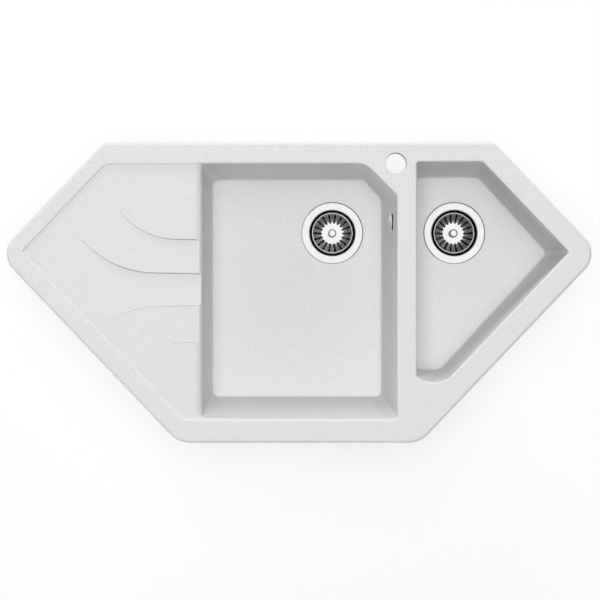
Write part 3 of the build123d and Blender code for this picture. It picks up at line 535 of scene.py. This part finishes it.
# The knob's top is bright polished steel; beyond 5.3 mm its rim is coloured dark as a painted dark
# reflection.
knob_painted_tones = [(0, 0.93), (5.3, 0.93), (5.8, 0.30), (7.3, 0.22)]
knob_steel = steel_finish("knob_steel", knob_painted_tones, roughness=0.12, depth=0.03)
for bowl in drains:
    low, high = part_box(bowl + "_basket_knob")
    top = high.z - low.z
    foot, waist = [(0, 0), (0.0054, 0)], arc(0.0104, 0.0062, 0.0060, 215, 145, 9)
    brim = (arc(0.0062, top - 0.0022, 0.0010, 200, 360, 7)
            + arc(0.0062, top - 0.0010, 0.0010, 0, 150, 9))
    crown = [(0.0050, top - 0.0008), (0.0046, top - 0.00085), (0, top - 0.0006)]
    spot = (*middle_of(low, high), low.z)
    piece = turned(bowl + "_lift_knob", foot + waist + brim + crown, spot, (0, 0, 1), knob_steel,
                   bend=40.0)
    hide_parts(bowl + "_basket_knob")
    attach(piece, bowl + "_basket_unit")


def plain_skin():
    """Moulded skin: a fine pimple for the height and a slow cloud for the tone."""
    g, gin, gout, place = shader_group("moulded_skin", {"Scale": 900.0, "Cloud Scale": 30.0},
                                       ["Cloud", "Height"])
    fine = node(g, "ShaderNodeTexNoise", Detail=2.0, Roughness=0.6)
    slow = node(g, "ShaderNodeTexNoise", Detail=3.0, Roughness=0.5)
    link(g, (place.outputs["Object"], fine.inputs["Vector"]),
         (place.outputs["Object"], slow.inputs["Vector"]),
         (gin.outputs["Scale"], fine.inputs["Scale"]),
         (gin.outputs["Cloud Scale"], slow.inputs["Scale"]),
         (fine.outputs["Fac"], gout.inputs["Height"]), (slow.outputs["Fac"], gout.inputs["Cloud"]))
    return g


skin = plain_skin()


def skin_finish(name, colour, roughness, bump, spread, scale=900.0, metallic=0.0):
    """Moulded or plated finish: the colour varies by that spread with the cloud, and the
    roughness a little too."""
    material, tree, shader = finish_of(name)
    set_sockets(shader, Roughness=roughness, Metallic=metallic)
    cover = node(tree, "ShaderNodeGroup", node_tree=skin)
    set_sockets(cover, Scale=scale, Cloud_Scale=38.0)
    base = node(tree, "ShaderNodeMix", data_type="RGBA")
    rgba(base, "A").default_value = (*(c * (1 - spread) for c in colour), 1)
    rgba(base, "B").default_value = (*colour, 1)
    rough = node(tree, "ShaderNodeMapRange", From_Min=0.3, From_Max=0.7,
                 To_Min=roughness - 0.05, To_Max=roughness + 0.08)
    pimple = node(tree, "ShaderNodeBump", Strength=bump, Distance=0.0002)
    link(tree, (cover.outputs["Cloud"], base.inputs["Factor"]),
         (rgba_out(base), shader.inputs["Base Color"]),
         (cover.outputs["Cloud"], rough.inputs["Value"]),
         (rough.outputs["Result"], shader.inputs["Roughness"]),
         (cover.outputs["Height"], pimple.inputs["Height"]),
         (pimple.outputs["Normal"], shader.inputs["Normal"]))
    return material


black_rubber = skin_finish("black_rubber", (0.028, 0.028, 0.030), roughness=0.62, bump=0.10,
                           spread=0.25)
dress(["main_basket_seal", "half_basket_seal", "main_flange_gasket", "half_flange_gasket",
       "main_lower_gasket", "half_lower_gasket", "main_coupling_washer", "half_coupling_washer",
       "socket_washers", "overflow_gasket"], black_rubber)
pin_steel = skin_finish("pin_steel", (0.66, 0.66, 0.65), roughness=0.28, bump=0.05, spread=0.10,
                        scale=1400.0, metallic=1.0)
dress(["main_basket_stem", "half_basket_stem", "main_waste_screw", "half_waste_screw",
       "clip_screws", "hose_clamps"], pin_steel)


# ---------------------------------------------------------------------------------------
# Waste fitting: injection-moulded white polypropylene housings, coupling nuts, tee, bend
# and the pipe that joins the two bowls' wastes.
# ---------------------------------------------------------------------------------------
white_plastic = skin_finish("white_polypropylene", (0.74, 0.74, 0.72), roughness=0.34,
                            bump=0.10, spread=0.05)
dress(["main_waste_housing", "half_waste_housing", "waste_tee", "half_elbow", "overflow_elbow"],
      white_plastic)
nut_plastic = skin_finish("nut_polypropylene", (0.62, 0.63, 0.64), roughness=0.40, bump=0.14,
                          spread=0.06)
dress(["main_coupling_nut", "half_coupling_nut", "socket_nuts"], nut_plastic)
pipe_plastic = skin_finish("pipe_plastic", (0.70, 0.70, 0.69), roughness=0.26, bump=0.05,
                           spread=0.04)
dress(["cross_pipe"], pipe_plastic)


# ---------------------------------------------------------------------------------------
# Overflow: a domed chrome disc stands off its base ring on the main bowl's side, and water
# enters by the gap behind it, coloured near black as painted shade.  A screw holds it to the
# elbow, whose grey hose runs down to the main waste.
# ---------------------------------------------------------------------------------------
chrome = skin_finish("chrome", (0.93, 0.93, 0.93), roughness=0.08, bump=0.0, spread=0.03,
                     scale=1400.0, metallic=1.0)
# Near-black material for the painted shade in the overflow's inlet.
gap_painted_shade = skin_finish("inlet_painted_shade", (0.012, 0.012, 0.012), roughness=0.70, bump=0.10,
                        spread=0.2)
wall_lean, wall_height = 18.0, 190.0
into_bowl = Vector((-1.0, 0.0, wall_lean / wall_height)).normalized()
seat = Vector((0.1589, -0.1246, -0.0460))
dome = [(0.0053, 0.0060), (0.0070, 0.00582), (0.0090, 0.00545), (0.0110, 0.00492),
        (0.0126, 0.00438), (0.0137, 0.0040)]
under = [(0.0134, 0.0030), (0.0110, 0.0039), (0.0080, 0.0044), (0.0046, 0.0044),
         (0.0045, 0.0005), (0.0149, 0.0004)]
back = [(0.0162, 0.0), (0.0045, 0.0), (0.0045, -0.0040)]
screw_hole = [(0.0027, -0.0040), (0.0027, 0.0034), (0.0049, 0.0058)]
disc_edge = arc(0.0141, 0.0033, 0.0007, 70, -75, 6)
ring_edge = arc(0.0155, 0.0002, 0.0006, 160, 10, 6)
rose = screw_hole + dome + disc_edge + under + ring_edge + back
cover = turned("overflow_rose", rose, seat, into_bowl, chrome, bend=50.0)
cover.data.materials.append(gap_painted_shade)
# Painted shade in the inlet: the flat ground behind the gap and the disc's rear, which looks back
# at it, are coloured near black.
inlet_in, inlet_out, ground_back, ground_front, looks_back = 0.0044, 0.0149, 0.0003, 0.0015, -0.3
count = len(cover.data.polygons)
middles, facing = np.empty(3 * count), np.empty(3 * count)
cover.data.polygons.foreach_get("center", middles)
cover.data.polygons.foreach_get("normal", facing)
way = np.array(into_bowl)
middles = middles.reshape(-1, 3) - np.array(seat)
outward, depth = facing.reshape(-1, 3) @ way, middles @ way
reach = np.linalg.norm(middles - depth[:, None] * way, axis=1)
inlet = ((reach < inlet_out) & (reach > inlet_in) & (depth > ground_back)
         & ((depth < ground_front) | (outward < looks_back)))
cover.data.polygons.foreach_set("material_index", inlet.astype(np.int32))
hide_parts("overflow_cover")
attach(cover, "sink")
dress(["overflow_screw"], chrome)
dress(["overflow_hose"], skin_finish("grey_hose", (0.50, 0.51, 0.52), roughness=0.50, bump=0.12,
                                     spread=0.08))


# ---------------------------------------------------------------------------------------
# Worktop clips: zinc-plated steel arms that swing on their screws and grip the worktop from
# below; each screw turns in a nylon plug pressed into the body.
# ---------------------------------------------------------------------------------------
zinc = skin_finish("zinc_plate", (0.62, 0.63, 0.64), roughness=0.36, bump=0.06, spread=0.16,
                   scale=1200.0, metallic=1.0)
dress(["worktop_clip_%d" % (i + 1) for i in range(8)], zinc)
dress(["clip_plugs"], skin_finish("black_nylon", (0.05, 0.05, 0.055), roughness=0.45, bump=0.10,
                                  spread=0.2))
